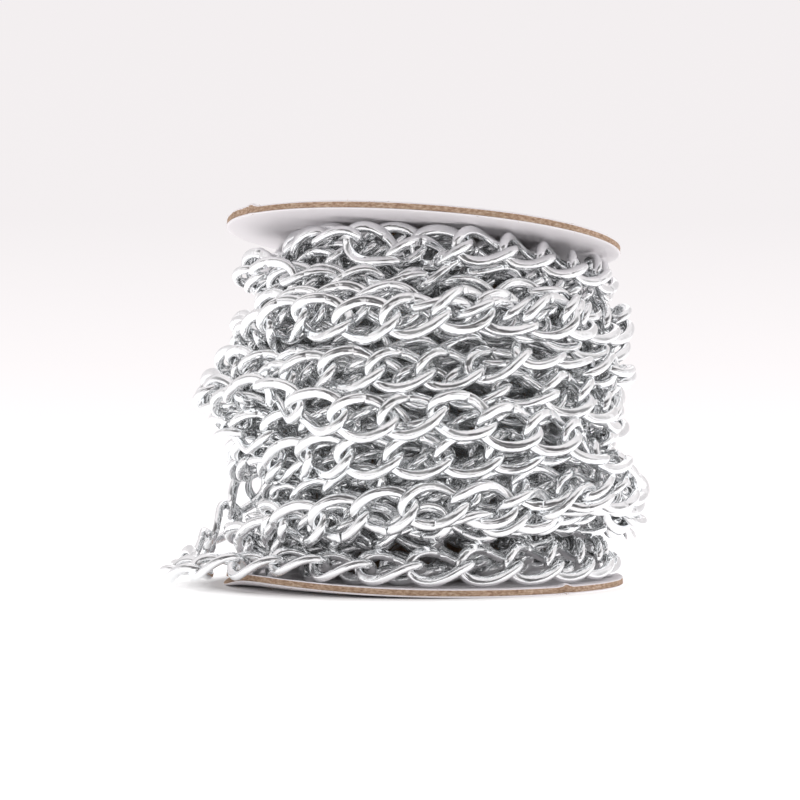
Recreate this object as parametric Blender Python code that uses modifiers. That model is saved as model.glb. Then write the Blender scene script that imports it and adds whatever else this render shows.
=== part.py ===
"""Spool of aluminium curb chain: two paper-faced board discs on a board tube, the chain
wound between them, and its last turn, part of which has slipped off the lower disc.

Metres, +Z up. The origin is on the floor, under the middle of the whole object's box. The
tube's axis stands a little to one side of it, because the slipped turn reaches out to -X.
"""

import math

import bmesh
import bpy
import numpy as np
from mathutils import Matrix, Vector

MM = 0.001
TUBE_AXIS = (4.7 * MM, 0.0 * MM)  # x and y of the tube's middle

# The two discs and the tube between them
DISC_RADIUS = 44.45 * MM
DISC_THICKNESS = 1.8 * MM
DISC_EDGE_CHAMFER = 0.2 * MM
ARBOR_HOLE_RADIUS = 10.0 * MM
TUBE_OUTER_RADIUS = 16.0 * MM
TUBE_WALL = 2.0 * MM
UPPER_DISC_HEIGHT = 76.65 * MM  # underside of the upper disc, in its middle
UPPER_DISC_SHIFT = -0.3 * MM  # its hole has play on the spindle, so it sits a hair to the left
UPPER_DISC_LEAN = math.radians(4.1)  # its left edge, at -X, is pushed up by the chain
UPPER_DISC_LEAN_BACK = math.radians(1.6)  # and its front edge too
TURN_STEPS = 64

# One curb link: an oval of wire, twisted about its length so that the chain lies flat
LINK_LENGTH = 15.0 * MM
LINK_WIDTH = 10.0 * MM
WIRE_DIAMETER = 2.0 * MM
LINK_TWIST = math.radians(-90)
LINK_PITCH = 10.2 * MM
LINK_POINTS = 16

# The wound chain: a core of hidden layers, and round it whole turns, one above the other
FIT_GAP = 0.3 * MM  # between pieces that rest on each other
TURNS = 8
ROWS_PER_TURN = 4
LINKS_PER_TURN = 27
COLUMNS_PER_LINK = 4
OUTER_TURN_INNER_RADIUS = 35.0 * MM
GAP_DEPTH_BETWEEN_TURNS = 4.5 * MM
SIDE_WIRE_SHARE = 0.74  # a turn is at its full width from this share of its rounding on
EYE_DEPTH = 5.0 * MM  # how deep the open middle of a link lies under its wire
LINK_SLANT = 0.9  # how far a link leans along the turn, in link lengths
TURN_SWAY = 1.6 * MM  # each turn climbs and falls this much on its way round
STEP_HEIGHT = 11.4 * MM  # below it, the last turn lies round the hidden layers
# Height above the floor and radius of the heap's outside, bottom to top, and how far its
# middle lies off the tube's axis along X
HEAP_PROFILE = (
    (11.4 * MM, 47.0 * MM, 1.0 * MM),
    (20.0 * MM, 49.5 * MM, 0.4 * MM),
    (31.0 * MM, 50.0 * MM, -0.2 * MM),
    (42.0 * MM, 50.8 * MM, -2.0 * MM),
    (53.0 * MM, 50.0 * MM, -2.0 * MM),
    (64.0 * MM, 48.5 * MM, -1.2 * MM),
    (71.0 * MM, 46.0 * MM, 0.0 * MM),
    (80.5 * MM, 40.5 * MM, 0.0 * MM),
)

# The last turn lies on the lower disc and leans on the heap. At the left it has slipped off
# the disc to the floor, and it climbs back to the heap from there. The points follow the
# middle of the chain: angle about the tube, radius, height, and the links' roll, which is 0
# where a link lies flat and 90 degrees where it stands against the heap.
LAST_TURN_ROUTE = (
    (math.radians(150), 40.2 * MM, 6.6 * MM, math.radians(50)),
    (math.radians(115), 40.2 * MM, 6.6 * MM, math.radians(50)),
    (math.radians(80), 40.2 * MM, 6.6 * MM, math.radians(50)),
    (math.radians(40), 40.2 * MM, 6.6 * MM, math.radians(50)),
    (math.radians(0), 40.2 * MM, 6.6 * MM, math.radians(50)),
    (math.radians(-35), 40.2 * MM, 6.6 * MM, math.radians(50)),
    (math.radians(-70), 40.3 * MM, 6.5 * MM, math.radians(48)),
    (math.radians(-98), 40.4 * MM, 6.0 * MM, math.radians(26)),
    (math.radians(-120), 40.6 * MM, 5.9 * MM, math.radians(14)),
    (math.radians(-138), 42.6 * MM, 6.0 * MM, math.radians(12)),
    (math.radians(-150), 47.5 * MM, 5.2 * MM, math.radians(10)),
    (math.radians(-160), 53.5 * MM, 3.7 * MM, math.radians(10)),
    (math.radians(-170), 55.5 * MM, 3.8 * MM, math.radians(24)),
    (math.radians(-180), 55.0 * MM, 5.2 * MM, math.radians(36)),
    (math.radians(-189), 53.0 * MM, 8.8 * MM, math.radians(50)),
    (math.radians(-197), 50.0 * MM, 14.5 * MM, math.radians(64)),
)
ROUTE_STEPS = 60  # samples between two points of the route

BOARD = ("board", (0.93, 0.92, 0.93, 1.0), 0.8, 0.0)
KRAFT = ("kraft_tube", (0.55, 0.38, 0.22, 1.0), 0.85, 0.0)
ALUMINIUM = ("bright_aluminium", (0.86, 0.87, 0.88, 1.0), 0.18, 1.0)


def clear_scene():
    for obj in list(bpy.data.objects):
        bpy.data.objects.remove(obj)


def material(spec):
    name, colour, roughness, metallic = spec
    made = bpy.data.materials.get(name)
    if made is None:
        made = bpy.data.materials.new(name)
        made.use_nodes = True
        shader = made.node_tree.nodes["Principled BSDF"]
        shader.inputs["Base Color"].default_value = colour
        shader.inputs["Roughness"].default_value = roughness
        shader.inputs["Metallic"].default_value = metallic
    return made


def add_object(name, data, spec, collection):
    obj = bpy.data.objects.new(name, data)
    obj.parent = bpy.data.objects["tube_axis"]
    data.materials.append(material(spec))
    collection.objects.link(obj)
    return obj


def add_tube_axis(collection):
    """An empty on the tube's axis, which every piece of the spool hangs on."""
    axis = bpy.data.objects.new("tube_axis", None)
    axis.location = (*TUBE_AXIS, 0.0)
    collection.objects.link(axis)


def turned(name, profile, spec, collection):
    """A closed outline of (radius, height) points, turned about Z."""
    mesh = bpy.data.meshes.new(name)
    points = [(radius, 0.0, height) for radius, height in profile]
    edges = [(i, (i + 1) % len(points)) for i in range(len(points))]
    mesh.from_pydata(points, edges, [])
    obj = add_object(name, mesh, spec, collection)
    screw = obj.modifiers.new("turn", "SCREW")
    screw.steps = TURN_STEPS
    screw.render_steps = TURN_STEPS
    screw.use_merge_vertices = True
    screw.merge_threshold = 0.00001
    screw.use_normal_calculate = True
    return obj


def disc_profile():
    """A flat ring with its outer edges a little rounded, from inner top to inner bottom."""
    edge = DISC_EDGE_CHAMFER
    return [
        (ARBOR_HOLE_RADIUS, DISC_THICKNESS),
        (DISC_RADIUS - edge, DISC_THICKNESS),
        (DISC_RADIUS, DISC_THICKNESS - edge),
        (DISC_RADIUS, edge),
        (DISC_RADIUS - edge, 0.0),
        (ARBOR_HOLE_RADIUS, 0.0),
    ]


def make_discs(collection):
    turned("lower_disc", disc_profile(), BOARD, collection)
    upper = turned("upper_disc", disc_profile(), BOARD, collection)
    upper.location = (UPPER_DISC_SHIFT, 0.0, UPPER_DISC_HEIGHT)
    upper.rotation_euler = (-UPPER_DISC_LEAN_BACK, UPPER_DISC_LEAN, 0.0)


def ceiling(x, y):
    """Height of the upper disc's underside, less the fitting gap, over this place."""
    fall = (x - UPPER_DISC_SHIFT) * math.tan(UPPER_DISC_LEAN) + y * math.tan(UPPER_DISC_LEAN_BACK)
    return UPPER_DISC_HEIGHT - fall - FIT_GAP


def heap_outside(height):
    """Radius of the heap at this height, and its middle's distance from the axis along X."""
    heights, radii, middles_x = zip(*HEAP_PROFILE)
    return float(np.interp(height, heights, radii)), float(np.interp(height, heights, middles_x))


def spun_ring(profile, steps):
    """A closed outline of (radius, height) points spun about Z into a ring, as a bmesh."""
    ring = bmesh.new()
    points = [ring.verts.new((radius, 0.0, height)) for radius, height in profile]
    edges = [ring.edges.new((a, b)) for a, b in zip(points, points[1:] + points[:1])]
    bmesh.ops.spin(
        ring,
        geom=points + edges,
        cent=(0, 0, 0),
        axis=(0, 0, 1),
        angle=math.tau,
        steps=steps,
        use_merge=True,
    )
    bmesh.ops.remove_doubles(ring, verts=ring.verts, dist=0.00001)
    bmesh.ops.recalc_face_normals(ring, faces=ring.faces)
    return ring


def finish_ring(ring, name, spec, collection):
    mesh = bpy.data.meshes.new(name)
    ring.to_mesh(mesh)
    ring.free()
    return add_object(name, mesh, spec, collection)


def make_plain_ring(name, inner, outer, spec, collection):
    """A plain ring from the lower disc to the upper one, whose lean its upper end follows."""
    foot, top = DISC_THICKNESS + FIT_GAP, UPPER_DISC_HEIGHT
    ring = spun_ring([(inner, foot), (inner, top), (outer, top), (outer, foot)], TURN_STEPS)
    for vert in ring.verts:
        if vert.co.z > foot:
            vert.co.z = ceiling(vert.co.x, vert.co.y)
    finish_ring(ring, name, spec, collection)


def make_tube_and_inner_layers(collection):
    """The board tube, and the hidden layers of chain round it as one plain ring."""
    bore = TUBE_OUTER_RADIUS - TUBE_WALL
    make_plain_ring("core_tube", bore, TUBE_OUTER_RADIUS, KRAFT, collection)
    inner, outer = TUBE_OUTER_RADIUS + FIT_GAP, OUTER_TURN_INNER_RADIUS - FIT_GAP
    make_plain_ring("inner_chain_layers", inner, outer, ALUMINIUM, collection)


def relief(row, column_phase):
    """How far a turn's outside lies in from the heap's, towards its edges and in its links' eyes.

    The rows next to the edges are the links' long sides, and the middle row holds the eyes,
    with a slanting wire between each two.
    """
    across = math.sin(math.pi * row / ROWS_PER_TURN)
    to_the_edges = GAP_DEPTH_BETWEEN_TURNS * (1.0 - min(across / SIDE_WIRE_SHARE, 1.0))
    eye = EYE_DEPTH * (0.5 - 0.5 * math.cos(math.tau * column_phase))
    return to_the_edges + eye * across**4


def turn_place(turn, row, around, outside):
    """Where a point of a turn lies: row 0 is its lower edge, and row ROWS_PER_TURN its upper."""
    link_angle = math.tau / LINKS_PER_TURN
    column_phase = around / link_angle + 0.5 * (turn % 2)
    share = (turn + row / ROWS_PER_TURN) / TURNS
    sway = TURN_SWAY * math.sin(around + share * TURNS) * math.sin(math.pi * share)
    if outside and 0 < row < ROWS_PER_TURN:
        around += LINK_SLANT * link_angle * (row / ROWS_PER_TURN - 0.5)
    level = STEP_HEIGHT + share * (ceiling(0.0, 0.0) - STEP_HEIGHT)
    radius, middle_x = OUTER_TURN_INNER_RADIUS, 0.0
    if outside:
        radius, middle_x = heap_outside(level)
        radius -= relief(row, column_phase)
    x, y = middle_x + radius * math.cos(around), radius * math.sin(around)
    height = STEP_HEIGHT + share * (ceiling(x, y) - STEP_HEIGHT) + sway
    if row == ROWS_PER_TURN and turn < TURNS - 1:
        height -= FIT_GAP
    return x, y, height


def make_outer_turns(collection):
    """The outer turns of chain, each one a ring with the eyes of its links cut into its outside.

    A ring is first spun with its row numbers as heights, and then each point is set in place.
    """
    for turn in range(TURNS):
        outside = [(DISC_RADIUS, row) for row in range(ROWS_PER_TURN + 1)]
        inside = [(OUTER_TURN_INNER_RADIUS, ROWS_PER_TURN), (OUTER_TURN_INNER_RADIUS, 0)]
        ring = spun_ring(outside + inside, LINKS_PER_TURN * COLUMNS_PER_LINK)
        for vert in ring.verts:
            around = math.atan2(vert.co.y, vert.co.x)
            is_outside = vert.co.xy.length > (DISC_RADIUS + OUTER_TURN_INNER_RADIUS) / 2
            vert.co = turn_place(turn, round(vert.co.z), around, is_outside)
        bmesh.ops.recalc_face_normals(ring, faces=ring.faces)
        finish_ring(ring, f"outer_turn_{turn + 1}", ALUMINIUM, collection)


def link_centreline():
    """Points along the middle of a link's wire, the link lying along X in the XY plane."""
    half_length = (LINK_LENGTH - WIRE_DIAMETER) / 2
    half_width = (LINK_WIDTH - WIRE_DIAMETER) / 2
    points = []
    for i in range(LINK_POINTS):
        angle = math.tau * (i + 0.5) / LINK_POINTS
        turn = LINK_TWIST / 2 * math.cos(angle)
        across = half_width * math.sin(angle)
        points.append(
            (half_length * math.cos(angle), across * math.cos(turn), across * math.sin(turn))
        )
    return points


def link_curve():
    curve = bpy.data.curves.new("curb_link", "CURVE")
    curve.dimensions = "3D"
    curve.bevel_depth = WIRE_DIAMETER / 2
    curve.bevel_resolution = 1
    curve.twist_mode = "MINIMUM"
    spline = curve.splines.new("POLY")
    spline.points.add(LINK_POINTS - 1)
    for point, place in zip(spline.points, link_centreline()):
        point.co = (*place, 1.0)
    spline.use_cyclic_u = True
    return curve


def catmull_rom(a, b, c, d, t):
    return 0.5 * (
        2 * b + (c - a) * t + (2 * a - 5 * b + 4 * c - d) * t**2 + (3 * b - a - 3 * c + d) * t**3
    )


def smooth_route():
    """The route of the last turn, finely sampled: rows of angle, radius, height and roll."""
    points = [np.array(point) for point in LAST_TURN_ROUTE]
    rows = []
    for i in range(len(points) - 1):
        before, after = points[max(i - 1, 0)], points[min(i + 2, len(points) - 1)]
        for step in range(ROUTE_STEPS):
            rows.append(catmull_rom(before, points[i], points[i + 1], after, step / ROUTE_STEPS))
    return rows + [points[-1]]


def route_place(row):
    angle, radius, height, _ = row
    return Vector((radius * math.cos(angle), radius * math.sin(angle), height))


def link_joints():
    """Rows of the route one link pitch apart, where one link hangs in the next."""
    rows = smooth_route()
    joints = [rows[-1]]
    for row in reversed(rows):
        if (route_place(row) - route_place(joints[-1])).length >= LINK_PITCH:
            joints.append(row)
    return joints[::-1]


def link_matrix(start, end):
    """Where the link between two joints lies: along X of its own, flat in its own XY plane."""
    along = (route_place(end) - route_place(start)).normalized()
    middle = (route_place(start) + route_place(end)) / 2
    outward = Vector((middle.x, middle.y, 0)).normalized()
    roll = (start[3] + end[3]) / 2
    facing = Vector((0, 0, math.cos(roll))) + outward * math.sin(roll)
    facing = (facing - along * facing.dot(along)).normalized()
    across = facing.cross(along)
    turned_to = Matrix((along, across, facing)).transposed().to_4x4()
    return Matrix.Translation(middle) @ turned_to


def make_last_turn(collection):
    """The last turn of the chain, link by link. Each link is its own object."""
    curve = link_curve()
    curve.materials.append(material(ALUMINIUM))
    joints = link_joints()
    for number, (start, end) in enumerate(zip(joints, joints[1:]), 1):
        link = bpy.data.objects.new(f"last_turn_link_{number:02d}", curve)
        link.parent = bpy.data.objects["tube_axis"]
        link.matrix_local = link_matrix(start, end)
        collection.objects.link(link)


def main():
    clear_scene()
    collection = bpy.data.collections.new("chain_spool")
    bpy.context.scene.collection.children.link(collection)
    add_tube_axis(collection)
    make_discs(collection)
    make_tube_and_inner_layers(collection)
    make_outer_turns(collection)
    make_last_turn(collection)


main()
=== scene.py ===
import math

import bmesh
import bpy
import numpy as np
from mathutils import Matrix, Vector, noise


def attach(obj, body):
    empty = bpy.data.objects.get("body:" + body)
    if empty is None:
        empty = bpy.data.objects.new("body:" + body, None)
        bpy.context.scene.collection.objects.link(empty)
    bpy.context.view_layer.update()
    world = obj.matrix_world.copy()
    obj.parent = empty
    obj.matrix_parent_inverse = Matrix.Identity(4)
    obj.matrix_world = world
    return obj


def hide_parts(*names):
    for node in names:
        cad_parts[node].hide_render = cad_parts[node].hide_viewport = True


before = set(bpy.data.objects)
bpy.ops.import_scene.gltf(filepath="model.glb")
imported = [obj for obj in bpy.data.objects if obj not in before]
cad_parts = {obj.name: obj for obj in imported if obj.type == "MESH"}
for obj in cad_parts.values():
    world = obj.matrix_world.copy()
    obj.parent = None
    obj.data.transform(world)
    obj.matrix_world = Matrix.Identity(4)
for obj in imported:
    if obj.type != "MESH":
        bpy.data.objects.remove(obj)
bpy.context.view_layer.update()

MM = 0.001


# Camera, table and light. The spool stands on a white sheet in a white room. The sheet glows
# as painted light, most just round the foot of the spool, where it fills the spool's shade on
# the sheet and lights the spool from below. The unlit wall above the reflectors draws the thin
# dark streaks on bright wire, and the dark side of the room, behind the camera, shows in the
# few flats that face it.

CAMERA_PLACE = (-0.8 * MM, -396 * MM, 29.7 * MM)
CAMERA_PITCH = math.radians(1.67)
CAMERA_LENS = 78.7
TABLE_SIZE = 1.6
TABLE_COLOUR = (0.93, 0.93, 0.93, 1)
# Painted light: distance from the origin and how strongly the sheet glows there. The glow is
# strongest just round the spool's foot, where it fills the spool's shade on the sheet
PAINTED_SHEET_GLOW = (
    (0.0, 0.0), (0.0445, 0.0), (0.048, 0.45), (0.060, 0.64), (0.09, 0.57), (0.14, 0.48), (0.45, 0.44),
)
# Where on Y the sheet's painted glow begins, in front of the spool
PAINTED_GLOW_FROM_Y = (-0.37, -0.25)
# Height on the sky, as the direction's z, and how bright the room is there: all round, and
# what share of it is left towards the camera's side
SKY_FROM = -0.1
ROOM = (
    (0.0, 1.05), (0.05, 0.98), (0.13, 0.89), (0.28, 0.88),
    (0.36, 0.80), (0.66, 0.78), (0.76, 0.92), (1.0, 0.96),
)
FRONT_ROOM = (
    (-0.1, 0.42), (0.04, 0.42), (0.06, 0.98), (0.28, 1.0),
    (0.33, 0.45), (0.37, 0.16), (0.66, 0.16), (0.74, 1.0),
)
# How far towards the camera a direction points, from where the front's share starts to count
FRONT_FROM = (-0.1, 0.35)
# The room's white is a little pink
ROOM_TINT = (1.016, 0.978, 0.987)
# How far towards the camera a direction points, and what share of the light there is left
DARK_SIDE = ((0.93, 1.0), (0.965, 0.22))
# The wall behind the spool is a little brighter than the others: how far towards the camera
# a direction points where that wall ends, and the share of its light on the others
BACK_WALL_TO = (-0.94, -0.84)
OTHER_WALLS = 0.98


def add_node(tree, kind, inputs=None, **settings):
    """A shader node whose inputs are constants or other nodes' sockets."""
    made = tree.nodes.new(kind)
    for name, value in settings.items():
        setattr(made, name, value)
    for name, value in (inputs or {}).items():
        if isinstance(value, bpy.types.NodeSocket):
            tree.links.new(value, made.inputs[name])
        else:
            made.inputs[name].default_value = value
    return made


def calculated(tree, operation, first, second=0.0):
    """One step of arithmetic on a shader's values."""
    return add_node(tree, "ShaderNodeMath", {0: first, 1: second}, operation=operation).outputs[0]


def ranged(tree, value, low, high, to=(0.0, 1.0)):
    """The value, stretched from low and high to other limits and held within them."""
    limits = {"From Min": low, "From Max": high, "To Min": to[0], "To Max": to[1]}
    return add_node(tree, "ShaderNodeMapRange", {"Value": value, **limits}).outputs["Result"]


def tinted(tree, colour, tint, share=1.0):
    """A colour multiplied by another, or by a share of it."""
    inputs = {"Factor": share, "A": colour, "B": tint}
    mixed = add_node(tree, "ShaderNodeMix", inputs, data_type="RGBA", blend_type="MULTIPLY")
    return mixed.outputs["Result"]


def add_ramp(tree, factor, stops):
    """A colour ramp through (position, colour) stops."""
    ramp = add_node(tree, "ShaderNodeValToRGB", {"Fac": factor})
    elements = ramp.color_ramp.elements
    while len(elements) < len(stops):
        elements.new(0.5)
    for element, (place, colour) in zip(elements, stops):
        element.position = place
        element.color = (*colour, 1) if len(colour) == 3 else colour
    return ramp.outputs["Color"]


def grey(value):
    return (value, value, value, 1)


camera_data = bpy.data.cameras.new("camera")
camera_data.lens = CAMERA_LENS
camera = bpy.data.objects.new("camera", camera_data)
camera.location = CAMERA_PLACE
camera.rotation_euler.x = math.pi / 2 + CAMERA_PITCH
bpy.context.collection.objects.link(camera)
bpy.context.scene.camera = camera
bpy.context.scene.view_settings.view_transform = "Standard"

table_mesh = bpy.data.meshes.new("table")
table_shape = bmesh.new()
bmesh.ops.create_grid(table_shape, x_segments=1, y_segments=1, size=TABLE_SIZE / 2)
table_shape.to_mesh(table_mesh)
table_shape.free()
table = bpy.data.objects.new("table", table_mesh)
bpy.context.collection.objects.link(table)
white_sheet = bpy.data.materials.new("white_sheet")
white_sheet.use_nodes = True
sheet_tree = white_sheet.node_tree
sheet_shader = sheet_tree.nodes["Principled BSDF"]
sheet_shader.inputs["Base Color"].default_value = TABLE_COLOUR
sheet_shader.inputs["Roughness"].default_value = 0.9
# The sheet's emission is painted light: a glow that rises round the spool and fills its shade on the sheet
sheet_shader.inputs["Emission Color"].default_value = grey(1.0)
sheet_place = add_node(sheet_tree, "ShaderNodeTexCoord").outputs["Object"]
off_spool = add_node(sheet_tree, "ShaderNodeVectorMath", {0: sheet_place}, operation="LENGTH")
painted_glow_stops = [(distance, grey(level)) for distance, level in PAINTED_SHEET_GLOW]
painted_glow = add_ramp(sheet_tree, off_spool.outputs["Value"], painted_glow_stops)
sheet_y = add_node(sheet_tree, "ShaderNodeSeparateXYZ", {"Vector": sheet_place}).outputs["Y"]
painted_glow_strength = calculated(sheet_tree, "MULTIPLY", painted_glow, ranged(sheet_tree, sheet_y, *PAINTED_GLOW_FROM_Y))
sheet_tree.links.new(painted_glow_strength, sheet_shader.inputs["Emission Strength"])
table_mesh.materials.append(white_sheet)

room = bpy.data.worlds.new("white_room")
room.use_nodes = True
bpy.context.scene.world = room
room_tree = room.node_tree
direction = add_node(room_tree, "ShaderNodeTexCoord").outputs["Generated"]
upward = add_node(room_tree, "ShaderNodeSeparateXYZ", {"Vector": direction}).outputs["Z"]
on_sky = ranged(room_tree, upward, SKY_FROM, 1.0)
brightness, front_share = [
    add_ramp(room_tree, on_sky, [((z - SKY_FROM) / (1 - SKY_FROM), grey(level)) for z, level in levels])
    for levels in (ROOM, FRONT_ROOM)
]
toward = add_node(room_tree, "ShaderNodeVectorMath", {0: direction, 1: (0, -1, 0)}, operation="DOT_PRODUCT")
to_camera = toward.outputs["Value"]
unlit = add_ramp(room_tree, to_camera, [(share, grey(level)) for share, level in DARK_SIDE])
in_front = ranged(room_tree, to_camera, *FRONT_FROM)
off_back_wall = ranged(room_tree, to_camera, *BACK_WALL_TO)
sky = brightness
for factor, colour in (
    (in_front, front_share), (off_back_wall, grey(OTHER_WALLS)), (1.0, unlit), (1.0, (*ROOM_TINT, 1)),
):
    sky = tinted(room_tree, sky, colour, factor)
room_tree.links.new(sky, room_tree.nodes["Background"].inputs["Color"])


def add_softbox(name, place, target, size, watts):
    """A square lamp behind white cloth, aimed at a point."""
    data = bpy.data.lights.new(name, "AREA")
    data.size = size
    data.energy = watts
    lamp = bpy.data.objects.new(name, data)
    lamp.location = place
    lamp.rotation_euler = (Vector(target) - Vector(place)).to_track_quat("-Z", "Y").to_euler()
    lamp.visible_camera = False
    bpy.context.collection.objects.link(lamp)


SPOOL_MIDDLE = (0.0, 0.0, 40 * MM)
add_softbox("softbox_left", (-0.62, -0.30, 0.28), SPOOL_MIDDLE, size=0.80, watts=0.34)
add_softbox("softbox_right", (0.62, -0.22, 0.26), SPOOL_MIDDLE, size=0.70, watts=0.30)
add_softbox("softbox_behind", (0.10, 0.55, 0.60), SPOOL_MIDDLE, size=0.60, watts=0.45)


# Lower and upper disc: die-cut brown board, 1.8 mm thick, with a white paper glued on each
# face. The cut rim is bare and fibrous. The chain has pushed the upper disc up at the left,
# and its edge is bruised there. The paper under the lower disc has come loose at the left.

# The origin is under the middle of the whole spool, and the tube stands to the right of it
TUBE_AXIS = Vector((4.7 * MM, 0, 0))
DISC_RADIUS = 44.5 * MM
DISC_THICKNESS = 1.8 * MM
ARBOR_HOLE_RADIUS = 10.0 * MM
PAPER = 0.22 * MM
# How far the die has pressed each face down at the cut edge, the height of the fine slit
# between the board and its lower paper, and how far the bare rim stands back
CRUSH = 0.10 * MM
SLIT = 0.03 * MM
RIM_SET_BACK = 0.06 * MM
# Radii of the rings of points on each face, and from where on a point belongs to the edge
FACE_RINGS = (24 * MM, 34 * MM, 37 * MM, 40 * MM, 42 * MM)
EDGE_FROM = 43 * MM
# The upper disc leans down to the right and a little to the back, and sits a hair to the left
UPPER_DISC_PLACE = (-0.3 * MM, 0, 76.65 * MM)
UPPER_DISC_LEAN = math.radians(4.1)
UPPER_DISC_LEAN_BACK = math.radians(1.6)
DISC_STEPS = 960
RIM_ROWS = 9
RIM_ROUGHNESS = 0.14 * MM
# Length and height of the rim's torn fibres and of its chips
TORN_SIZE = (1.1 * MM, 0.28 * MM)
CHIP_SIZE = (3.1 * MM, 0.9 * MM)
# Direction in degrees, half width in degrees and size of each bruise
UPPER_BRUISES = ((-156, 9.0, 0.45 * MM), (-147, 2.5, 0.55 * MM), (-60, 14.0, 0.12 * MM))
LOWER_BRUISES = ((-49.5, 1.6, 0.55 * MM),)
# From which radius on a bruise lifts the plies, and over what width it grows to its full size
BRUISE_FROM = 40.5 * MM
BRUISE_WIDTH = 3.5 * MM
# The lower disc is warped: its edge stands off the table a little all round, and more in one
# direction, given as direction, half width and height
EDGE_LIFT = 0.10 * MM
WARP = (-150, 40.0, 1.8 * MM)
WARP_FROM_RADIUS = 34.0 * MM
# Loose fibres on each rim, and the share of them that sits in the bruises
FIBRES = 260
FIBRES_IN_BRUISES = 0.45
FIBRE_ROOT_DEPTH = 0.12 * MM
FIBRE_LENGTH = (0.25 * MM, 0.95 * MM)
FIBRE_RADIUS = 0.035 * MM
# How far fibres point outwards, and how much they stray sideways and up or down
FIBRE_OUTWARDS = 0.6
FIBRE_SIDEWAYS = 1.2
FIBRE_UPWARDS = 0.6
# Where the lower paper has come loose: direction and half width in degrees, how deep the
# slit opens there and how far the paper stands out
LOOSE_PAPER_DIRECTION = -172
LOOSE_PAPER_HALF_WIDTH = 14.0
LOOSE_PAPER_DEPTH = 3.0 * MM
LOOSE_PAPER_REACH = 0.6 * MM
WHITE_FACE = 0
BARE_RIM = 1
# Each ramp: place on the noise, and the colour there
PAPER_COLOURS = ((0.35, (0.96, 0.925, 0.945)), (0.65, (0.985, 0.95, 0.97)))
PLY_COLOURS = (
    (0.30, (0.33, 0.20, 0.13)), (0.45, (0.48, 0.32, 0.22)),
    (0.58, (0.61, 0.44, 0.32)), (0.72, (0.74, 0.59, 0.47)),
)
PATCH_TINTS = ((0.35, (0.86, 0.85, 0.81)), (0.65, (1.0, 1.0, 1.0)))


def new_piece(name, mesh, slot, *nodes):
    """A piece of the spool that rides with it and stands for those CAD nodes."""
    piece = bpy.data.objects.new(name, mesh)
    bpy.context.collection.objects.link(piece)
    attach(piece, "root")
    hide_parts(*nodes)
    return piece


def hump(angle, centre, half_width):
    """1 in one direction about the axis, in degrees, falling to 0 to both sides of it."""
    off = (math.degrees(angle) - centre + 180) % 360 - 180
    return math.exp(-((off / half_width) ** 2))


def rim_profile():
    """The disc's outline as (radius, height): top, cut rim with a slit over the lower paper, foot."""
    top, outer = DISC_THICKNESS, DISC_RADIUS
    edge = PAPER + CRUSH
    step = (DISC_THICKNESS - 2 * edge) / (RIM_ROWS + 1)
    rim = [(outer - RIM_SET_BACK, top - edge - step * (row + 0.5)) for row in range(RIM_ROWS)]
    return [
        (ARBOR_HOLE_RADIUS, 0.3 * top),
        (ARBOR_HOLE_RADIUS, 0.7 * top),
        (ARBOR_HOLE_RADIUS + 0.1 * MM, top),
        *[(radius, top) for radius in FACE_RINGS],
        (outer - 0.55 * MM, top),
        (outer - 0.22 * MM, top - 0.4 * CRUSH),
        (outer, top - CRUSH - 0.05 * MM),
        (outer, top - edge),
        *rim,
        (outer - 0.15 * MM, edge + SLIT),
        (outer, edge),
        (outer, CRUSH + 0.05 * MM),
        (outer - 0.22 * MM, 0.4 * CRUSH),
        (outer - 0.55 * MM, 0.0),
        *[(radius, 0.0) for radius in reversed(FACE_RINGS)],
        (ARBOR_HOLE_RADIUS + 0.1 * MM, 0.0),
    ]


def rough_rim(angle, height, seed):
    """How far the cut fibres of the rim stand in or out at a point."""
    along = angle * DISC_RADIUS
    place = Vector((along / TORN_SIZE[0], height / TORN_SIZE[1], seed))
    fine = noise.noise(place) + 0.6 * noise.noise(place * 2.7)
    chip_place = Vector((along / CHIP_SIZE[0], height / CHIP_SIZE[1], seed + 9))
    chips = max(0.0, noise.noise(chip_place) - 0.25)
    return RIM_ROUGHNESS * (0.5 * fine - 2.2 * chips)


def bruise(vert, angle, bruises, seed):
    """Lifts the edge's upper plies where the disc has been knocked."""
    radius = vert.co.xy.length
    share = min(max((radius - BRUISE_FROM) / BRUISE_WIDTH, 0.0), 1.0) ** 2
    for centre, half_width, size in bruises:
        swell = hump(angle, centre, half_width) * share * size
        ragged = 1 + 0.5 * noise.noise(Vector((angle * 60, 3.0, seed)))
        vert.co.z += swell * ragged * vert.co.z / DISC_THICKNESS


def loosen_paper(vert, radius, angle, is_slit, is_paper):
    """Opens the slit over the lower paper. The paper stays on the table and stands out a little."""
    loose = hump(angle, LOOSE_PAPER_DIRECTION, LOOSE_PAPER_HALF_WIDTH)
    outward = vert.co.xy.normalized()
    if is_slit:
        vert.co.xy -= outward * LOOSE_PAPER_DEPTH * loose
        vert.co.z -= 0.5 * warp(radius, angle) * loose
    elif is_paper:
        vert.co.z -= warp(radius, angle) * loose
        if radius > EDGE_FROM:
            vert.co.xy += outward * LOOSE_PAPER_REACH * loose**2


def warp(radius, angle):
    """How far the lower disc stands off the table at a point."""
    share = min(max((radius - WARP_FROM_RADIUS) / (DISC_RADIUS - WARP_FROM_RADIUS), 0.0), 1.0)
    return (EDGE_LIFT + WARP[2] * hump(angle, WARP[0], WARP[1])) * share**2


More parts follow.
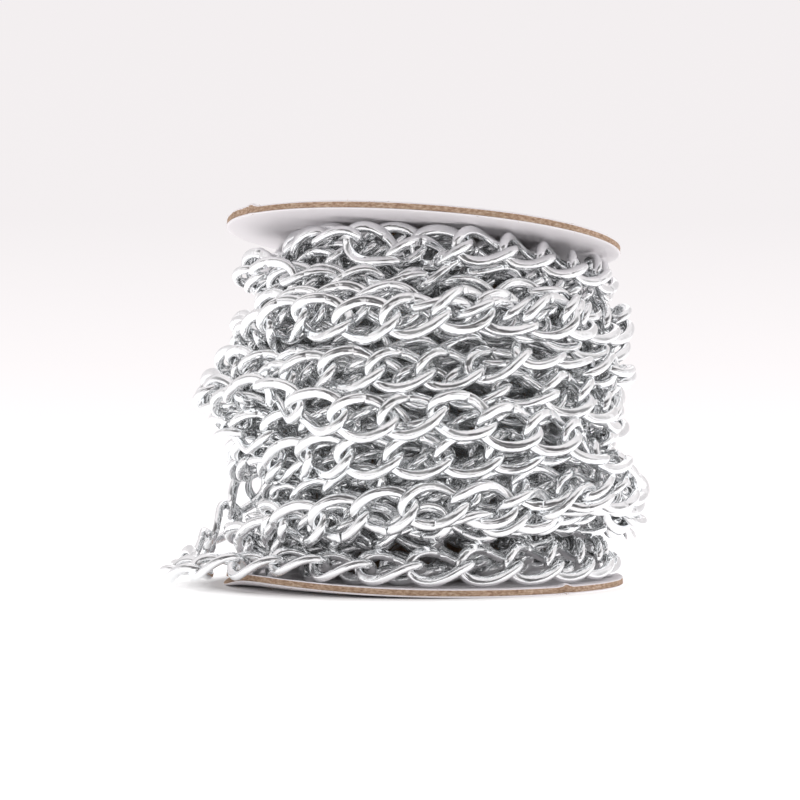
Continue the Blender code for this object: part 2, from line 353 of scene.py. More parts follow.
def add_fibres(disc, bruises, seed):
    """Torn paper fibres that stand out of the cut rim, more of them where it is bruised."""
    random = np.random.default_rng(int(seed * 10))
    for _ in range(FIBRES):
        angle = random.uniform(-math.pi, math.pi)
        if random.random() < FIBRES_IN_BRUISES:
            centre, half_width, _ = bruises[random.integers(len(bruises))]
            angle = math.radians(centre + half_width * random.normal())
        length, height = random.uniform(*FIBRE_LENGTH), random.uniform(PAPER, DISC_THICKNESS)
        outward = Vector((math.cos(angle), math.sin(angle), 0))
        sideways = Vector((-outward.y, outward.x, 0)) * random.normal() * FIBRE_SIDEWAYS
        upwards = Vector((0, 0, random.normal() * FIBRE_UPWARDS))
        way = (outward * FIBRE_OUTWARDS + sideways + upwards).normalized()
        root = outward * (DISC_RADIUS - FIBRE_ROOT_DEPTH) + Vector((0, 0, height))
        middle = root + way * length * 0.42
        place = Matrix.Translation(middle) @ way.to_track_quat("Z", "Y").to_matrix().to_4x4()
        made = bmesh.ops.create_cone(disc, segments=3, radius1=FIBRE_RADIUS, radius2=FIBRE_RADIUS * 0.3,
                                     depth=length, cap_ends=True, matrix=place)
        for face in {face for vert in made["verts"] for face in vert.link_faces}:
            face.material_index = BARE_RIM


def make_disc(name, bruises, is_lower, place, seed):
    """Spins the outline round the axis, and roughens, warps and bruises the edge."""
    profile = rim_profile()
    disc = bmesh.new()
    points = [disc.verts.new((radius, 0, height)) for radius, height in profile]
    edges = [disc.edges.new((a, b)) for a, b in zip(points, points[1:] + points[:1])]
    bmesh.ops.spin(disc, geom=points + edges, cent=(0, 0, 0), axis=(0, 0, 1), angle=math.tau,
                   steps=DISC_STEPS, use_merge=True)
    bmesh.ops.remove_doubles(disc, verts=disc.verts, dist=0.001 * MM)
    bmesh.ops.recalc_face_normals(disc, faces=disc.faces)
    edge = PAPER + CRUSH
    slit_height = edge + SLIT
    for face in disc.faces:
        middle = face.calc_center_median()
        on_rim = slit_height - CRUSH * 0.5 < middle.z < DISC_THICKNESS - edge
        on_rim = on_rim and middle.xy.length > DISC_RADIUS - RIM_SET_BACK - 0.10 * MM
        face.material_index = BARE_RIM if on_rim else WHITE_FACE
        face.smooth = True
    for vert in disc.verts:
        angle, radius, height = math.atan2(vert.co.y, vert.co.x), vert.co.xy.length, vert.co.z
        is_slit = radius > EDGE_FROM and abs(height - slit_height) < 0.005 * MM
        is_rim = radius > EDGE_FROM and height > slit_height
        if is_rim:
            vert.co.xy *= 1 + rough_rim(angle, height, seed) / radius
        if is_lower:
            vert.co.z += warp(radius, angle)
            loosen_paper(vert, radius, angle, is_slit, height < slit_height - 0.01 * MM)
        bruise(vert, angle, bruises, seed)
    add_fibres(disc, bruises, seed)
    disc.transform(place)
    mesh = bpy.data.meshes.new(name)
    disc.to_mesh(mesh)
    disc.free()
    mesh.materials.append(paper_material())
    mesh.materials.append(board_material())
    return new_piece(name, mesh, "board", name)


def new_material(name):
    """A new material with its node tree and its shader."""
    made = bpy.data.materials.new(name)
    made.use_nodes = True
    return made, made.node_tree, made.node_tree.nodes["Principled BSDF"]


def cloudy(tree, place, scale, detail):
    """Noise from 0 to 1, in clouds of a size that falls with the scale."""
    inputs = {"Vector": place, "Scale": scale, "Detail": detail}
    return add_node(tree, "ShaderNodeTexNoise", inputs).outputs["Fac"]


def uneven(tree, height, strength, distance, under=None):
    """The normal of a surface with small heights on it, or on another uneven surface."""
    inputs = {"Height": height, "Strength": strength, "Distance": distance}
    if under:
        inputs["Normal"] = under
    return add_node(tree, "ShaderNodeBump", inputs).outputs["Normal"]


def paper_material():
    """White liner paper, a little lilac in the shade, with fibres that show through."""
    if "liner_paper" in bpy.data.materials:
        return bpy.data.materials["liner_paper"]
    made, tree, shader = new_material("liner_paper")
    place = add_node(tree, "ShaderNodeTexCoord").outputs["Object"]
    clouds = cloudy(tree, place, scale=90.0, detail=4.0)
    fibres = cloudy(tree, place, scale=2600.0, detail=3.0)
    tree.links.new(add_ramp(tree, clouds, PAPER_COLOURS), shader.inputs["Base Color"])
    shader.inputs["Roughness"].default_value = 0.62
    tree.links.new(uneven(tree, fibres, strength=0.12, distance=0.05 * MM), shader.inputs["Normal"])
    return made


def board_material():
    """Raw grey-brown board: tan and olive plies, darker pits, loose fibres."""
    if "raw_board" in bpy.data.materials:
        return bpy.data.materials["raw_board"]
    made, tree, shader = new_material("raw_board")
    place = add_node(tree, "ShaderNodeTexCoord").outputs["Object"]
    plies_place = add_node(tree, "ShaderNodeMapping", {"Vector": place, "Scale": (1100.0, 1100.0, 2600.0)})
    plies = cloudy(tree, plies_place.outputs["Vector"], scale=1.0, detail=5.0)
    patches = cloudy(tree, place, scale=140.0, detail=2.0)
    colour = tinted(tree, add_ramp(tree, plies, PLY_COLOURS), add_ramp(tree, patches, PATCH_TINTS))
    tree.links.new(colour, shader.inputs["Base Color"])
    shader.inputs["Roughness"].default_value = 0.9
    grain = cloudy(tree, place, scale=3200.0, detail=4.0)
    tree.links.new(uneven(tree, grain, strength=0.35, distance=0.1 * MM), shader.inputs["Normal"])
    return made


to_axis = Matrix.Translation(TUBE_AXIS)
lean = Matrix.Rotation(-UPPER_DISC_LEAN_BACK, 4, "X") @ Matrix.Rotation(UPPER_DISC_LEAN, 4, "Y")
to_upper = to_axis @ Matrix.Translation(UPPER_DISC_PLACE) @ lean
make_disc("lower_disc", LOWER_BRUISES, True, to_axis, 1.7)
make_disc("upper_disc", UPPER_BRUISES, False, to_upper, 5.2)


# Board tube between the discs, wound from strips of brown paper in a spiral and glued. It
# shows through the arbor hole. The solid from the frame stays, in the paper's colours.

# How far one turn of the strip climbs
STRIP_RISE = 32 * MM
KRAFT_COLOURS = ((0.3, (0.33, 0.20, 0.11)), (0.7, (0.50, 0.34, 0.20)))
# Dark in the seam, and a little darker again towards the strip's other edge
STRIP_SHADES = ((0.0, grey(0.35)), (0.03, grey(1.0)), (1.0, grey(0.92)))


def tube_material():
    """Brown paper with a fine spiral seam."""
    made, tree, shader = new_material("wound_kraft")
    place = add_node(tree, "ShaderNodeTexCoord").outputs["Object"]
    centred = add_node(tree, "ShaderNodeMapping", {"Vector": place, "Location": (-TUBE_AXIS.x, 0.0, 0.0)})
    parts = add_node(tree, "ShaderNodeSeparateXYZ", {"Vector": centred.outputs["Vector"]})
    around = calculated(tree, "ARCTAN2", parts.outputs["Y"], parts.outputs["X"])
    turns = calculated(tree, "DIVIDE", around, math.tau)
    climb = calculated(tree, "DIVIDE", parts.outputs["Z"], STRIP_RISE)
    seam = calculated(tree, "FRACT", calculated(tree, "ADD", turns, climb))
    paper = add_ramp(tree, cloudy(tree, place, scale=700.0, detail=5.0), KRAFT_COLOURS)
    shade = add_ramp(tree, seam, STRIP_SHADES)
    tree.links.new(tinted(tree, paper, shade), shader.inputs["Base Color"])
    shader.inputs["Roughness"].default_value = 0.8
    return made


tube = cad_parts["core_tube"]
tube.data.materials.clear()
tube.data.materials.append(tube_material())


# Aluminium curb chain, some ten metres of it: links of bright drawn wire, each bent to an
# oval, butted shut, and twisted a quarter turn so that the chain lies flat. It is wound on
# the tube in eight untidy layers, up and down in turn.

# The places of the links are worked out in millimetres about the tube's axis: first one link
# after another, and then by letting them all push apart.
LINK_PITCH = 10.2
HALF_LENGTH = 6.5
HALF_WIDTH = 4.0
LINK_TWIST = math.radians(-90)
WIRE = 2.1
OVAL_STEPS = 720
TUBE_RADIUS = 16.3
FOOT_HEIGHT = 2.0
TOP_HEIGHT = 76.35
TOP_FALL = math.tan(UPPER_DISC_LEAN)
TOP_FALL_BACK = math.tan(UPPER_DISC_LEAN_BACK)
# Room that is kept free round the foot of the heap for the last turn, as inner radius and
# height. At the left, where that turn has slipped off the disc, the heap sags into the room:
# direction, half width in degrees, how far outwards and how far down
LAST_TURN_ROOM = (35.0, 8.8)
SLIPPED = (-164, 30.0, 9.0, 5.0)
# Below this height the sag sets in, and over this much height it becomes full
SAG_BELOW = 22.0
SAG_OVER = 10
# Turns about the tube and height of the chain's middle after them. The eighth layer ends half
# way down: there the chain drops steeply at the right and runs round the back to the left.
WINDING = (
    (0, 5), (8.3, 73), (16.4, 5.5), (24.2, 73.5), (30.2, 7.5), (30.9, 7.5), (37.2, 73.5), (42.5, 12),
    (43.5, 14), (47.9, 72), (50.867, 37), (50.944, 14.5), (51.2, 14.5), (51.453, 15.5),
)
# Height and radius of the heap's outside, and how far its middle lies off the axis along X
HEAP_OUTSIDE = (
    (2, 45, 0), (11.4, 48.3, 1.7), (18.6, 49.8, 1.7), (23, 50.4, 0.6), (31, 50, -0.2), (42, 50.2, -2),
    (52.5, 49, -1.5), (57, 47.8, -0.5), (64, 46.6, 1.6), (71.5, 44.8, 2.4), (75, 41, 3.2), (80.5, 26, 3.5),
)
# How firmly wire that stands out of the heap is held back
OUTSIDE_HOLD = 0.3


def oval(angle):
    """The middle of a link's wire at these angles about it, the link lying along X."""
    turn = LINK_TWIST / 2 * np.cos(angle)
    across = HALF_WIDTH * np.sin(angle)
    return np.stack([HALF_LENGTH * np.cos(angle), across * np.cos(turn), across * np.sin(turn)], 1)


def beads_along_oval(count):
    """Points the same distance apart along a link's wire."""
    fine = oval(math.tau * (np.arange(OVAL_STEPS) + 0.5) / OVAL_STEPS)
    travelled = np.cumsum(np.linalg.norm(fine - np.roll(fine, 1, 0), axis=1))
    return fine[np.searchsorted(travelled, travelled[-1] * np.arange(count) / count)]


def link_axes(along, roll, place):
    """The three axes of links: along the chain, across it, and the way they face."""
    outward = place * np.array([1.0, 1.0, 0.0])
    outward /= np.linalg.norm(outward, axis=-1, keepdims=True)
    facing = np.array([0.0, 0.0, 1.0]) * np.cos(roll)[..., None] + outward * np.sin(roll)[..., None]
    facing -= along * (facing * along).sum(-1, keepdims=True)
    facing /= np.linalg.norm(facing, axis=-1, keepdims=True)
    return np.stack([along, np.cross(facing, along), facing], -2)


def top_over(points):
    """Height of the leaning upper disc's underside over these points."""
    return TOP_HEIGHT - points[..., 0] * TOP_FALL - points[..., 1] * TOP_FALL_BACK


def beyond_outside(points):
    """How far wire at these points stands out of the heap."""
    heights, radii, middles_x = zip(*HEAP_OUTSIDE)
    height = points[..., 2]
    from_middle = np.hypot(points[..., 0] - np.interp(height, heights, middles_x), points[..., 1])
    return np.maximum(from_middle + WIRE / 2 - np.interp(height, heights, radii), 0)


def slipped_side(x, y):
    """1 in the direction of the slipped loop, falling to 0 on both sides of it."""
    off = (np.degrees(np.arctan2(y, x)) - SLIPPED[0] + 180) % 360 - 180
    return np.exp(-((off / SLIPPED[1]) ** 2))


def room_radius(points):
    """From which radius on the last turn's room is kept free, in the direction of these points."""
    return LAST_TURN_ROOM[0] + SLIPPED[2] * slipped_side(points[..., 0], points[..., 1])


def drift(random, count, step):
    """A smooth random curve with a knot every few links."""
    knots = random.normal(size=count // step + 4)
    at = np.arange(count) / step
    knot = at.astype(int)
    share = at - knot
    share = share * share * (3 - 2 * share)
    return knots[knot] * (1 - share) + knots[knot + 1] * share


def out_of_room(points):
    """How badly points of the wire stick into the tube or a disc, or out of the heap."""
    half = WIRE / 2
    radius, height = np.hypot(points[..., 0], points[..., 1]), points[..., 2]
    badness = np.maximum(TUBE_RADIUS + half - radius, 0) ** 2
    badness += np.maximum(FOOT_HEIGHT + half - height, 0) ** 2
    badness += np.maximum(height - top_over(points) + half, 0) ** 2
    kept_free = np.minimum(radius - room_radius(points) + half, LAST_TURN_ROOM[1] + half - height)
    badness += np.maximum(kept_free, 0) ** 2
    return badness + OUTSIDE_HOLD * beyond_outside(points) ** 2


# How far the next link may step outwards and up, and how far it may roll about its length
TRY_OUT = (-2.6, -1.7, -1.0, -0.4, 0.2, 0.9, 1.7, 2.6)
TRY_UP = (-1.8, -0.6, 0.6, 1.8)
TRY_ROLL = (-32, -12, 12, 32)
UPRIGHT = math.pi / 2
# The steepest climb of a link, and the least way round that it makes all the same
MOST_CLIMB = 8.0
LEAST_RUN = 3.0
MOST_LINKS = 1500
WINDING_SEED = 11
WINDING_BEADS = 16
FIRST_JOINT = (TUBE_RADIUS + 5.0, 0.0, WINDING[0][1])
# The hand that winds wanders in height and lets the chain roll: how much, and over how many links
HEIGHT_DRIFT = (2.0, 5)
ROLL_DRIFT = (1.15, 4)
# What counts against a place, and how much: out of its room, in another wire, far out, off
# its height, rolled, bent against the link before it, and inside the radius of the end
OUT_OF_ROOM = 40
IN_WIRE = 30
FAR_OUT = 2.0
OFF_HEIGHT = 0.35
ROLLED = 1.0
BENT = 20
INSIDE = 3.0
# The last part of a turn is the chain's end, which lies outside at this radius
END_TURNS = 0.12
END_RADIUS = 48
# Only wire within this distance along each axis is looked at
NEAR = 15


def wind_chain():
    """Winds the chain one link after another. Each new link takes the cheapest of many places."""
    random = np.random.default_rng(WINDING_SEED)
    wire = beads_along_oval(WINDING_BEADS)
    turns, heights = zip(*WINDING)
    height_drift = HEIGHT_DRIFT[0] * drift(random, MOST_LINKS, HEIGHT_DRIFT[1])
    roll_drift = ROLL_DRIFT[0] * drift(random, MOST_LINKS, ROLL_DRIFT[1])
    tries = np.meshgrid(TRY_OUT, TRY_UP, np.radians(TRY_ROLL), indexing="ij")
    try_out, try_up, try_roll = [values.ravel() for values in tries]
    placed = np.empty((MOST_LINKS * len(wire), 3))
    count, around = 0, 0.0
    joint, before, roll = np.array(FIRST_JOINT), np.array([0.0, 1.0, 0.0]), UPRIGHT
    middles, axes = [], []
    while around / math.tau < turns[-1]:
        radius, angle = math.hypot(joint[0], joint[1]), math.atan2(joint[1], joint[0])
        ahead = (around + LINK_PITCH / radius) / math.tau
        level = np.interp(ahead, turns, heights)
        ending = max(0.0, 1 - (turns[-1] - ahead) / END_TURNS)
        new_radius = radius + try_out
        climb = min(abs(level - joint[2]), MOST_CLIMB)
        run = np.maximum(LINK_PITCH**2 - climb**2 - try_out**2, LEAST_RUN**2)
        new_angle = angle + np.sqrt(run / (radius * new_radius))
        x, y = new_radius * np.cos(new_angle), new_radius * np.sin(new_angle)
        share = (level - FOOT_HEIGHT) / (TOP_HEIGHT - FOOT_HEIGHT)
        low = min(max((SAG_BELOW - level) / SAG_OVER, 0.0), 1.0)
        sag = SLIPPED[3] * slipped_side(x, y) * low * (1 - ending)
        fall = (x * TOP_FALL + y * TOP_FALL_BACK) * share
        wanted = level + height_drift[count] * (1 - ending) - fall - sag
        z = joint[2] + np.clip(wanted - joint[2], -MOST_CLIMB, MOST_CLIMB) + try_up
        along = np.stack([x, y, z], 1) - joint
        along /= np.linalg.norm(along, axis=1, keepdims=True)
        middle = joint + along * LINK_PITCH / 2
        new_roll = roll + try_roll
        turned = link_axes(along, new_roll, middle)
        wires = wire @ turned + middle[:, None]
        there = placed[: max(count - 1, 0) * len(wire)]
        cost = OUT_OF_ROOM * out_of_room(wires).sum(1) + IN_WIRE * overlap(wires, there, joint)
        out = np.hypot(middle[:, 0], middle[:, 1])
        not_outside = INSIDE * ending * np.maximum(END_RADIUS - out, 0)
        cost += FAR_OUT * out + OFF_HEIGHT * (z - wanted) ** 2 + not_outside
        cost += ROLLED * (new_roll - UPRIGHT - roll_drift[count]) ** 2 + BENT * (1 - along @ before)
        best = int(np.argmin(cost))
        placed[count * len(wire):(count + 1) * len(wire)] = wires[best]
        middles.append(middle[best])
        axes.append(turned[best])
        joint, before, roll = joint + along[best] * LINK_PITCH, along[best], new_roll[best]
        around += (math.atan2(joint[1], joint[0]) - angle + math.pi) % math.tau - math.pi
        count += 1
    return np.array(middles), np.array(axes)


def overlap(wires, placed, near):
    """How far each of the tried wires runs into those that are there."""
    close = placed[(np.abs(placed - near) < NEAR).all(1)]
    points = wires.reshape(-1, 3)
    apart = (points**2).sum(1)[:, None] + (close**2).sum(1) - 2 * points @ close.T
    sunk = np.maximum(WIRE**2 - apart, 0) / (2 * WIRE)
    return (sunk**2).sum(1).reshape(len(wires), -1).sum(1)


# The last turn of the same chain, from the loop that comes down off the heap at the left, over
# the floor, the rim and the lower disc, to its free end behind. It lies loose.

# Each point is a direction about the tube in degrees, a radius and a height in millimetres,
# and the links' roll, which is 0 where they lie flat and 90 degrees where they stand upright.
LAST_TURN_ROUTE = (
    (-197, 46.8, 15.5, 85), (-189, 50.2, 9.0, 70), (-180, 54.4, 5.0, 50), (-170, 55.5, 3.8, 24),
    (-160, 53.5, 3.7, 10), (-150, 47.5, 5.2, 10), (-138, 42.6, 6.0, 12), (-120, 40.6, 5.9, 14),
    (-98, 40.4, 6.0, 26), (-70, 40.3, 6.5, 48), (-35, 40.2, 6.6, 50), (0, 40.2, 6.6, 50),
    (40, 40.2, 6.6, 50), (80, 40.2, 6.6, 50), (115, 40.2, 6.6, 50), (150, 40.2, 6.6, 50),
)
ROUTE_STEPS = 60
LAYING_BEADS = 32
# Half of the wire's breadth where it is flattened, and a hair more
FLAT_HALF = 1.28


def smooth_route():
    """The last turn's route, finely sampled."""
    points = [np.array(point, float) for point in LAST_TURN_ROUTE]
    rows = []
    for i in range(len(points) - 1):
        a, b, c, d = points[max(i - 1, 0)], points[i], points[i + 1], points[min(i + 2, len(points) - 1)]
        for t in np.arange(ROUTE_STEPS) / ROUTE_STEPS:
            rows.append(0.5 * (2 * b + (c - a) * t + (2 * a - 5 * b + 4 * c - d) * t**2
                               + (3 * b - a - 3 * c + d) * t**3))
    return np.array(rows + [points[-1]])


def lay_last_turn():
    """Links along the route, each hanging in the one before it."""
    rows = smooth_route()
    angle, roll = np.radians(rows[:, 0]), np.radians(rows[:, 3])
    places = np.stack([rows[:, 1] * np.cos(angle), rows[:, 1] * np.sin(angle), rows[:, 2]], 1)
    joints = [0]
    for i in range(len(places)):
        if np.linalg.norm(places[i] - places[joints[-1]]) >= LINK_PITCH:
            joints.append(i)
    starts, ends = places[joints[:-1]], places[joints[1:]]
    middles = (starts + ends) / 2
    along = (ends - starts) / np.linalg.norm(ends - starts, axis=1, keepdims=True)
    axes = link_axes(along, (roll[joints[:-1]] + roll[joints[1:]]) / 2, middles)
    wires = beads_along_oval(LAYING_BEADS) @ axes + middles[:, None]
    middles[:, 2] += np.maximum(ground(wires) + FLAT_HALF - wires[..., 2], 0).max(1)
    return middles, axes


def ground(points):
    """Height of the table or of the warped lower disc under points of the last turn."""
    radius, angle = np.hypot(points[..., 0], points[..., 1]), np.arctan2(points[..., 1], points[..., 0])
    top = np.vectorize(lambda r, a: DISC_THICKNESS + warp(r, a))(radius * MM, angle) / MM
    return np.where(radius < DISC_RADIUS / MM + 0.6, top, 0.0)


def close_pairs(points, owner, reach):
    """Pairs of beads of different links nearer than reach, found on a grid of that size."""
    cell = np.floor(points / reach).astype(np.int64)
    cell -= cell.min(0) - 1
    size = cell.max(0) + 2
    key = (cell[:, 0] * size[1] + cell[:, 1]) * size[2] + cell[:, 2]
    order = np.argsort(key, kind="stable")
    sorted_key = key[order]
    half_round = [(1, 0, 0), (1, 1, 0), (0, 1, 0), (-1, 1, 0)]
    half_round += [(a, b, 1) for a in (-1, 0, 1) for b in (-1, 0, 1)]
    firsts, seconds = [], []
    for shift in [(0, 0, 0), *half_round]:
        wanted = key + (shift[0] * size[1] + shift[1]) * size[2] + shift[2]
        low = np.searchsorted(sorted_key, wanted, "left")
        high = np.searchsorted(sorted_key, wanted, "right")
        first = np.repeat(np.arange(len(points)), high - low)
        begin = np.repeat(low - np.cumsum(high - low) + (high - low), high - low)
        second = order[begin + np.arange(len(first))]
        keep = ((points[first] - points[second]) ** 2).sum(1) < reach * reach
        keep &= owner[first] != owner[second]
        if shift == (0, 0, 0):
            keep &= first < second
        firsts.append(first[keep])
        seconds.append(second[keep])
    return np.concatenate(firsts), np.concatenate(seconds)


def summed(count, at, pushes):
    """The pushes on each of the beads, added up."""
    return np.stack([np.bincount(at, pushes[:, k], count) for k in range(3)], 1)


def keep_in_room(points):
    """Moves beads back out of the tube and the discs, and in from outside the heap."""
    half = WIRE / 2
    radius = np.hypot(points[:, 0], points[:, 1])
    wanted = np.maximum(radius, TUBE_RADIUS + half)
    wanted -= OUTSIDE_HOLD * beyond_outside(points)
    points[:, 2] = np.clip(points[:, 2], FOOT_HEIGHT + half, top_over(points) - half)
    sunk_in, sunk_down = radius - room_radius(points) + half, LAST_TURN_ROOM[1] + half - points[:, 2]
    in_the_way = (sunk_in > 0) & (sunk_down > 0)
    upwards = in_the_way & (sunk_down < sunk_in)
    points[upwards, 2] += ROOM_PUSH * sunk_down[upwards]
    inwards = in_the_way & ~upwards
    wanted[inwards] -= ROOM_PUSH * sunk_in[inwards]
    points[:, :2] *= (wanted / radius)[:, None]


# How often the links push each other, and how many beads stand for each one's wire: first
# roughly and then finely
SETTLING = ((280, 16), (150, 26))
# Every few steps near pairs are looked for, a little further than they touch
PAIRS_EVERY = 6
PAIRS_FURTHER = 0.9
PUSH = 1.5
ROOM_PUSH = 0.5
HOOK_ROUNDS = 2
HOOK_PULL = 0.2


def settle(middles, axes, fixed, steps, beads):
    """Lets the links push each other apart as rigid pieces that stay hooked in their neighbours.

    The last links, as many as fixed says, don't move.
    """
    wire = beads_along_oval(beads)
    count = len(middles)
    free = np.arange(count) < count - fixed
    owner = np.repeat(np.arange(count), beads)
    bead_free = free[owner]
    loose = free[:, None].astype(float)
    for step in range(steps):
        points = (wire @ axes + middles[:, None]).reshape(-1, 3)
        if step % PAIRS_EVERY == 0:
            first, second = close_pairs(points, owner, WIRE + PAIRS_FURTHER)
            keep = bead_free[first] | bead_free[second]
            first, second = first[keep], second[keep]
        apart = points[first] - points[second]
        distance = np.sqrt((apart**2).sum(1)) + 1e-9
        touch = distance < WIRE
        a, b = first[touch], second[touch]
        share = np.where(bead_free[a] & bead_free[b], 0.5, 1.0)
        push = apart[touch] * ((WIRE / distance[touch] - 1) * share)[:, None]
        pushes = summed(len(points), a, push) - summed(len(points), b, push)
        touches = np.bincount(a, minlength=len(points)) + np.bincount(b, minlength=len(points))
        points += PUSH * pushes / np.maximum(touches, 1)[:, None]
        keep_in_room(points)
        points = points.reshape(count, beads, 3)
        new_middles = points.mean(1)
        fit = np.einsum("bk,nbl->nkl", wire, points - new_middles[:, None])
        left, _, right = np.linalg.svd(fit)
        left[:, :, 2] *= np.sign(np.linalg.det(left @ right))[:, None]
        axes = np.where(free[:, None, None], left @ right, axes)
        middles = np.where(free[:, None], new_middles, middles)
        middles, axes = hook_together(middles, axes, loose)
    return middles, axes


def hook_together(middles, axes, loose):
    """Draws the ends of neighbouring links together."""
    tip = LINK_PITCH / 2
    for _ in range(HOOK_ROUNDS):
        gap = middles[:-1] + axes[:-1, 0] * tip - middles[1:] + axes[1:, 0] * tip
        draw = HOOK_PULL * gap
        middles[:-1] -= draw * loose[:-1]
        middles[1:] += draw * loose[1:]
        turn = np.zeros_like(middles)
        turn[:-1] -= draw / tip
        turn[1:] -= draw / tip
        along = axes[:, 0] + turn * loose
        along /= np.linalg.norm(along, axis=1, keepdims=True)
        facing = axes[:, 2] - along * (axes[:, 2] * along).sum(1, keepdims=True)
        facing /= np.linalg.norm(facing, axis=1, keepdims=True)
        axes = np.stack([along, np.cross(facing, along), facing], 1)
    return middles, axes


wound_middles, wound_axes = wind_chain()
laid_middles, laid_axes = lay_last_turn()
middles = np.concatenate([wound_middles, laid_middles])
axes = np.concatenate([wound_axes, laid_axes])
for steps, beads in SETTLING:
    middles, axes = settle(middles, axes, len(laid_middles), steps, beads)


# The links themselves. The wire is round at the ends, where links hang in each other, and
# pressed broad and flat along the sides. A fine line across one side is where it is butted.

# Points round the wire and rings along it, for a link that shows and for one that is hidden
WIRE_SIDES = 12
WIRE_RINGS = 40
HIDDEN_SIDES = 8
HIDDEN_RINGS = 20
# A link whose middle is nearer to the axis than this is hidden
HIDDEN_RADIUS = 30.0
WIRE_RADIUS = 1.01
# What becomes of the wire's breadth and thickness along the sides, and how round its corners
# are there and at the ends
SIDE_BREADTH = 1.12
SIDE_THICKNESS = 0.83
SIDE_CORNER = 0.78
END_CORNER = 0.85
# From where to where a corner of the wire's section has its points, in degrees
CORNER_POINTS = (13, 77)
# A link starts as a plain ring of this radius
RING_RADIUS = 3.0
SEAM_ANGLE = math.radians(90)
SEAM_HALF_WIDTH = math.radians(1.0)
SEAM_DEPTH = 0.10
# The heap is cut into pieces like the solids' outer turns, which begin at this height
OUTER_TURNS = 8
OUTER_TURNS_FROM = 11.4
# Rubs on the wire: from and to which level of their noise, and the finish they go between
RUBS = (0.42, 0.72)
WIRE_ROUGHNESS = (0.05, 0.14)
WIRE_COLOURS = ((0.35, (0.945, 0.955, 0.962)), (0.75, (0.872, 0.888, 0.90)))
# How often the fine drawing lines repeat along a link's wire and round it
DRAWN_LINES = (6.0, 60.0, 1.0)
# Painted light: a faint glow of the wire, which stands for the light that goes on bouncing
# between the links
PAINTED_BOUNCE_GLOW = 0.004


def ring_angle(ring, rings, seam):
    """The angle of a ring of points about the link. Three rings stand close together at the seam."""
    if not seam:
        return math.tau * ring / rings
    if ring <= 2:
        return SEAM_ANGLE + (ring - 1) * SEAM_HALF_WIDTH
    return SEAM_ANGLE + SEAM_HALF_WIDTH + (math.tau - 2 * SEAM_HALF_WIDTH) * (ring - 2) / (rings - 2)


def wire_section(angle, side, sides):
    """A point of the wire's section, across the side and through its thickness."""
    flat = math.sin(angle) ** 2
    breadth = WIRE_RADIUS * (1 + (SIDE_BREADTH - 1) * flat)
    thickness = WIRE_RADIUS * (1 + (SIDE_THICKNESS - 1) * flat)
    per_corner = sides // 4
    corner, place = divmod(side, per_corner)
    first, last = CORNER_POINTS
    turn = math.radians(90 * corner + first + (last - first) * place / (per_corner - 1))
    radius = thickness * (END_CORNER + (SIDE_CORNER - END_CORNER) * flat)
    return (
        math.copysign(breadth - radius, math.cos(turn)) + radius * math.cos(turn),
        math.copysign(thickness - radius, math.sin(turn)) + radius * math.sin(turn),
    )


def link_mesh(rings, sides, seam):
    """One link as arrays: points in millimetres, faces of four, and each corner's place on the wire."""
    ring_mesh = bmesh.new()
    upright = Matrix.Translation((RING_RADIUS, 0, 0)) @ Matrix.Rotation(math.pi / 2, 4, "X")
    circle = bmesh.ops.create_circle(ring_mesh, segments=sides, radius=1.0, matrix=upright)
    edges = list({edge for vert in circle["verts"] for edge in vert.link_edges})
    bmesh.ops.spin(ring_mesh, geom=circle["verts"] + edges, cent=(0, 0, 0), axis=(0, 0, 1),
                   angle=math.tau, steps=rings, use_merge=True)
    bmesh.ops.remove_doubles(ring_mesh, verts=ring_mesh.verts, dist=0.0001)
    bmesh.ops.recalc_face_normals(ring_mesh, faces=ring_mesh.faces)
    ring_mesh.verts.index_update()
    points, turns = [], []
    for vert in ring_mesh.verts:
        ring = round(math.atan2(vert.co.y, vert.co.x) / math.tau * rings) % rings
        around = math.atan2(vert.co.z, vert.co.xy.length - RING_RADIUS)
        side = round(around / math.tau * sides) % sides
        angle = ring_angle(ring, rings, seam)
        points.append(wire_point(angle, wire_section(angle, side, sides), seam and ring == 1))
        turns.append((angle / math.tau, side / sides))
    faces = [[vert.index for vert in face.verts] for face in ring_mesh.faces]
    ring_mesh.free()
    return np.array(points), np.array(faces), corner_places(np.array(turns), np.array(faces))


def wire_point(angle, section, in_seam):
    """A point of the wire's surface."""
    middle = oval(np.array([angle]))[0]
    ahead = oval(np.array([angle + 0.01]))[0] - oval(np.array([angle - 0.01]))[0]
    ahead /= np.linalg.norm(ahead)
    turn = LINK_TWIST / 2 * math.cos(angle)
    through = np.array([0.0, -math.sin(turn), math.cos(turn)])
    through -= ahead * through.dot(ahead)
    through /= np.linalg.norm(through)
    across = np.cross(ahead, through)
    depth = 1 - SEAM_DEPTH / WIRE_RADIUS if in_seam else 1
    return middle + (across * section[0] + through * section[1]) * depth


def corner_places(turns, faces):
    """Along and around the wire for each corner, unbroken where a face crosses the start."""
    places = turns[faces]
    low = places.min(1, keepdims=True)
    return places + (low + 0.5 < places.max(1, keepdims=True)) * (places < 0.5)


def chain_piece(name, chosen, link, *nodes):
    """Copies of one link, joined, as a piece of the spool."""
    points, faces, places = link
    number = len(chosen)
    joined = (points @ axes[chosen] + middles[chosen][:, None]).reshape(-1, 3) * MM + np.array(TUBE_AXIS)
    all_faces = (faces + (np.arange(number) * len(points))[:, None, None]).reshape(-1, 4)
    mesh = bpy.data.meshes.new(name)
    mesh.from_pydata(joined.tolist(), [], all_faces.tolist())
    mesh.shade_smooth()
    wire_map = mesh.uv_layers.new(name="wire")
    # Each link has its own whole number, from which its finish is drawn
    offset = np.array([[1.0, 0.0]]) * chosen[:, None, None, None]
    wire_map.uv.foreach_set("vector", (places + offset).astype(np.float32).ravel())
    mesh.materials.append(bright_aluminium())
    return new_piece(name, mesh, "chain", *nodes)


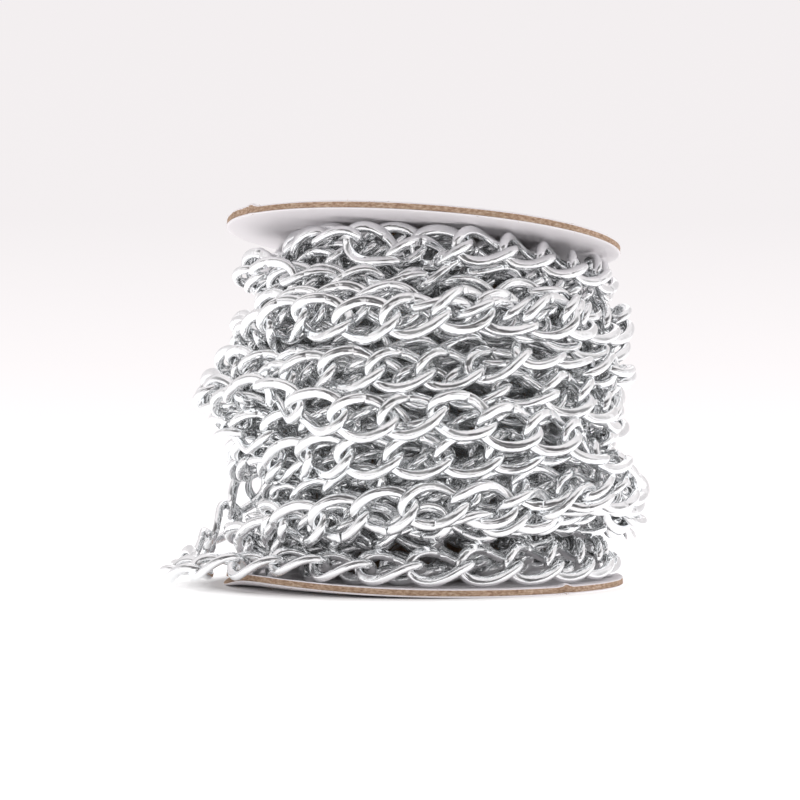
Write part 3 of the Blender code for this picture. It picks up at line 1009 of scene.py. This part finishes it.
def bright_aluminium():
    """Polished aluminium with fine drawing lines along the wire, a few dull rubs and a faint painted glow.
    """
    if "bright_aluminium" in bpy.data.materials:
        return bpy.data.materials["bright_aluminium"]
    made, tree, shader = new_material("bright_aluminium")
    shader.inputs["Metallic"].default_value = 1.0
    # Painted light: the wire glows faintly in place of the light that bounces between the links
    shader.inputs["Emission Color"].default_value = grey(1.0)
    shader.inputs["Emission Strength"].default_value = PAINTED_BOUNCE_GLOW
    wire_place = add_node(tree, "ShaderNodeUVMap", uv_map="wire").outputs["UV"]
    object_place = add_node(tree, "ShaderNodeTexCoord").outputs["Object"]
    line_place = add_node(tree, "ShaderNodeMapping", {"Vector": wire_place, "Scale": DRAWN_LINES})
    lines = cloudy(tree, line_place.outputs["Vector"], scale=1.0, detail=3.0)
    rubs = cloudy(tree, object_place, scale=420.0, detail=3.0)
    tree.links.new(ranged(tree, rubs, *RUBS, to=WIRE_ROUGHNESS), shader.inputs["Roughness"])
    tree.links.new(add_ramp(tree, rubs, WIRE_COLOURS), shader.inputs["Base Color"])
    drawn = uneven(tree, lines, strength=0.10, distance=0.2 * MM)
    # Shallow hammer-like waves, which make the reflections' edges run unevenly
    waves = cloudy(tree, object_place, scale=600.0, detail=1.0)
    wavy = uneven(tree, waves, strength=0.28, distance=0.2 * MM, under=drawn)
    tree.links.new(wavy, shader.inputs["Normal"])
    return made


fine_link = link_mesh(WIRE_RINGS, WIRE_SIDES, True)
plain_link = link_mesh(HIDDEN_RINGS, HIDDEN_SIDES, False)
wound = np.arange(len(wound_middles))
radius_of = np.hypot(middles[:, 0], middles[:, 1])
hidden = wound[radius_of[wound] < HIDDEN_RADIUS]
chain_piece("inner_layers", hidden, plain_link, "inner_chain_layers")
shown = wound[radius_of[wound] >= HIDDEN_RADIUS]
above, room_above = middles[shown, 2] - OUTER_TURNS_FROM, top_over(middles[shown]) - OUTER_TURNS_FROM
level = above / room_above * OUTER_TURNS
for number in range(OUTER_TURNS):
    low, high = number if number else -99, number + 1 if number < OUTER_TURNS - 1 else 99
    chosen = shown[(level >= low) & (level < high)]
    chain_piece(f"wraps_{number + 1}", chosen, fine_link, f"outer_turn_{number + 1}")
last_nodes = sorted(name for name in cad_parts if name.startswith("last_turn_link"))
chain_piece("last_turn", np.arange(len(wound), len(middles)), fine_link, *last_nodes)
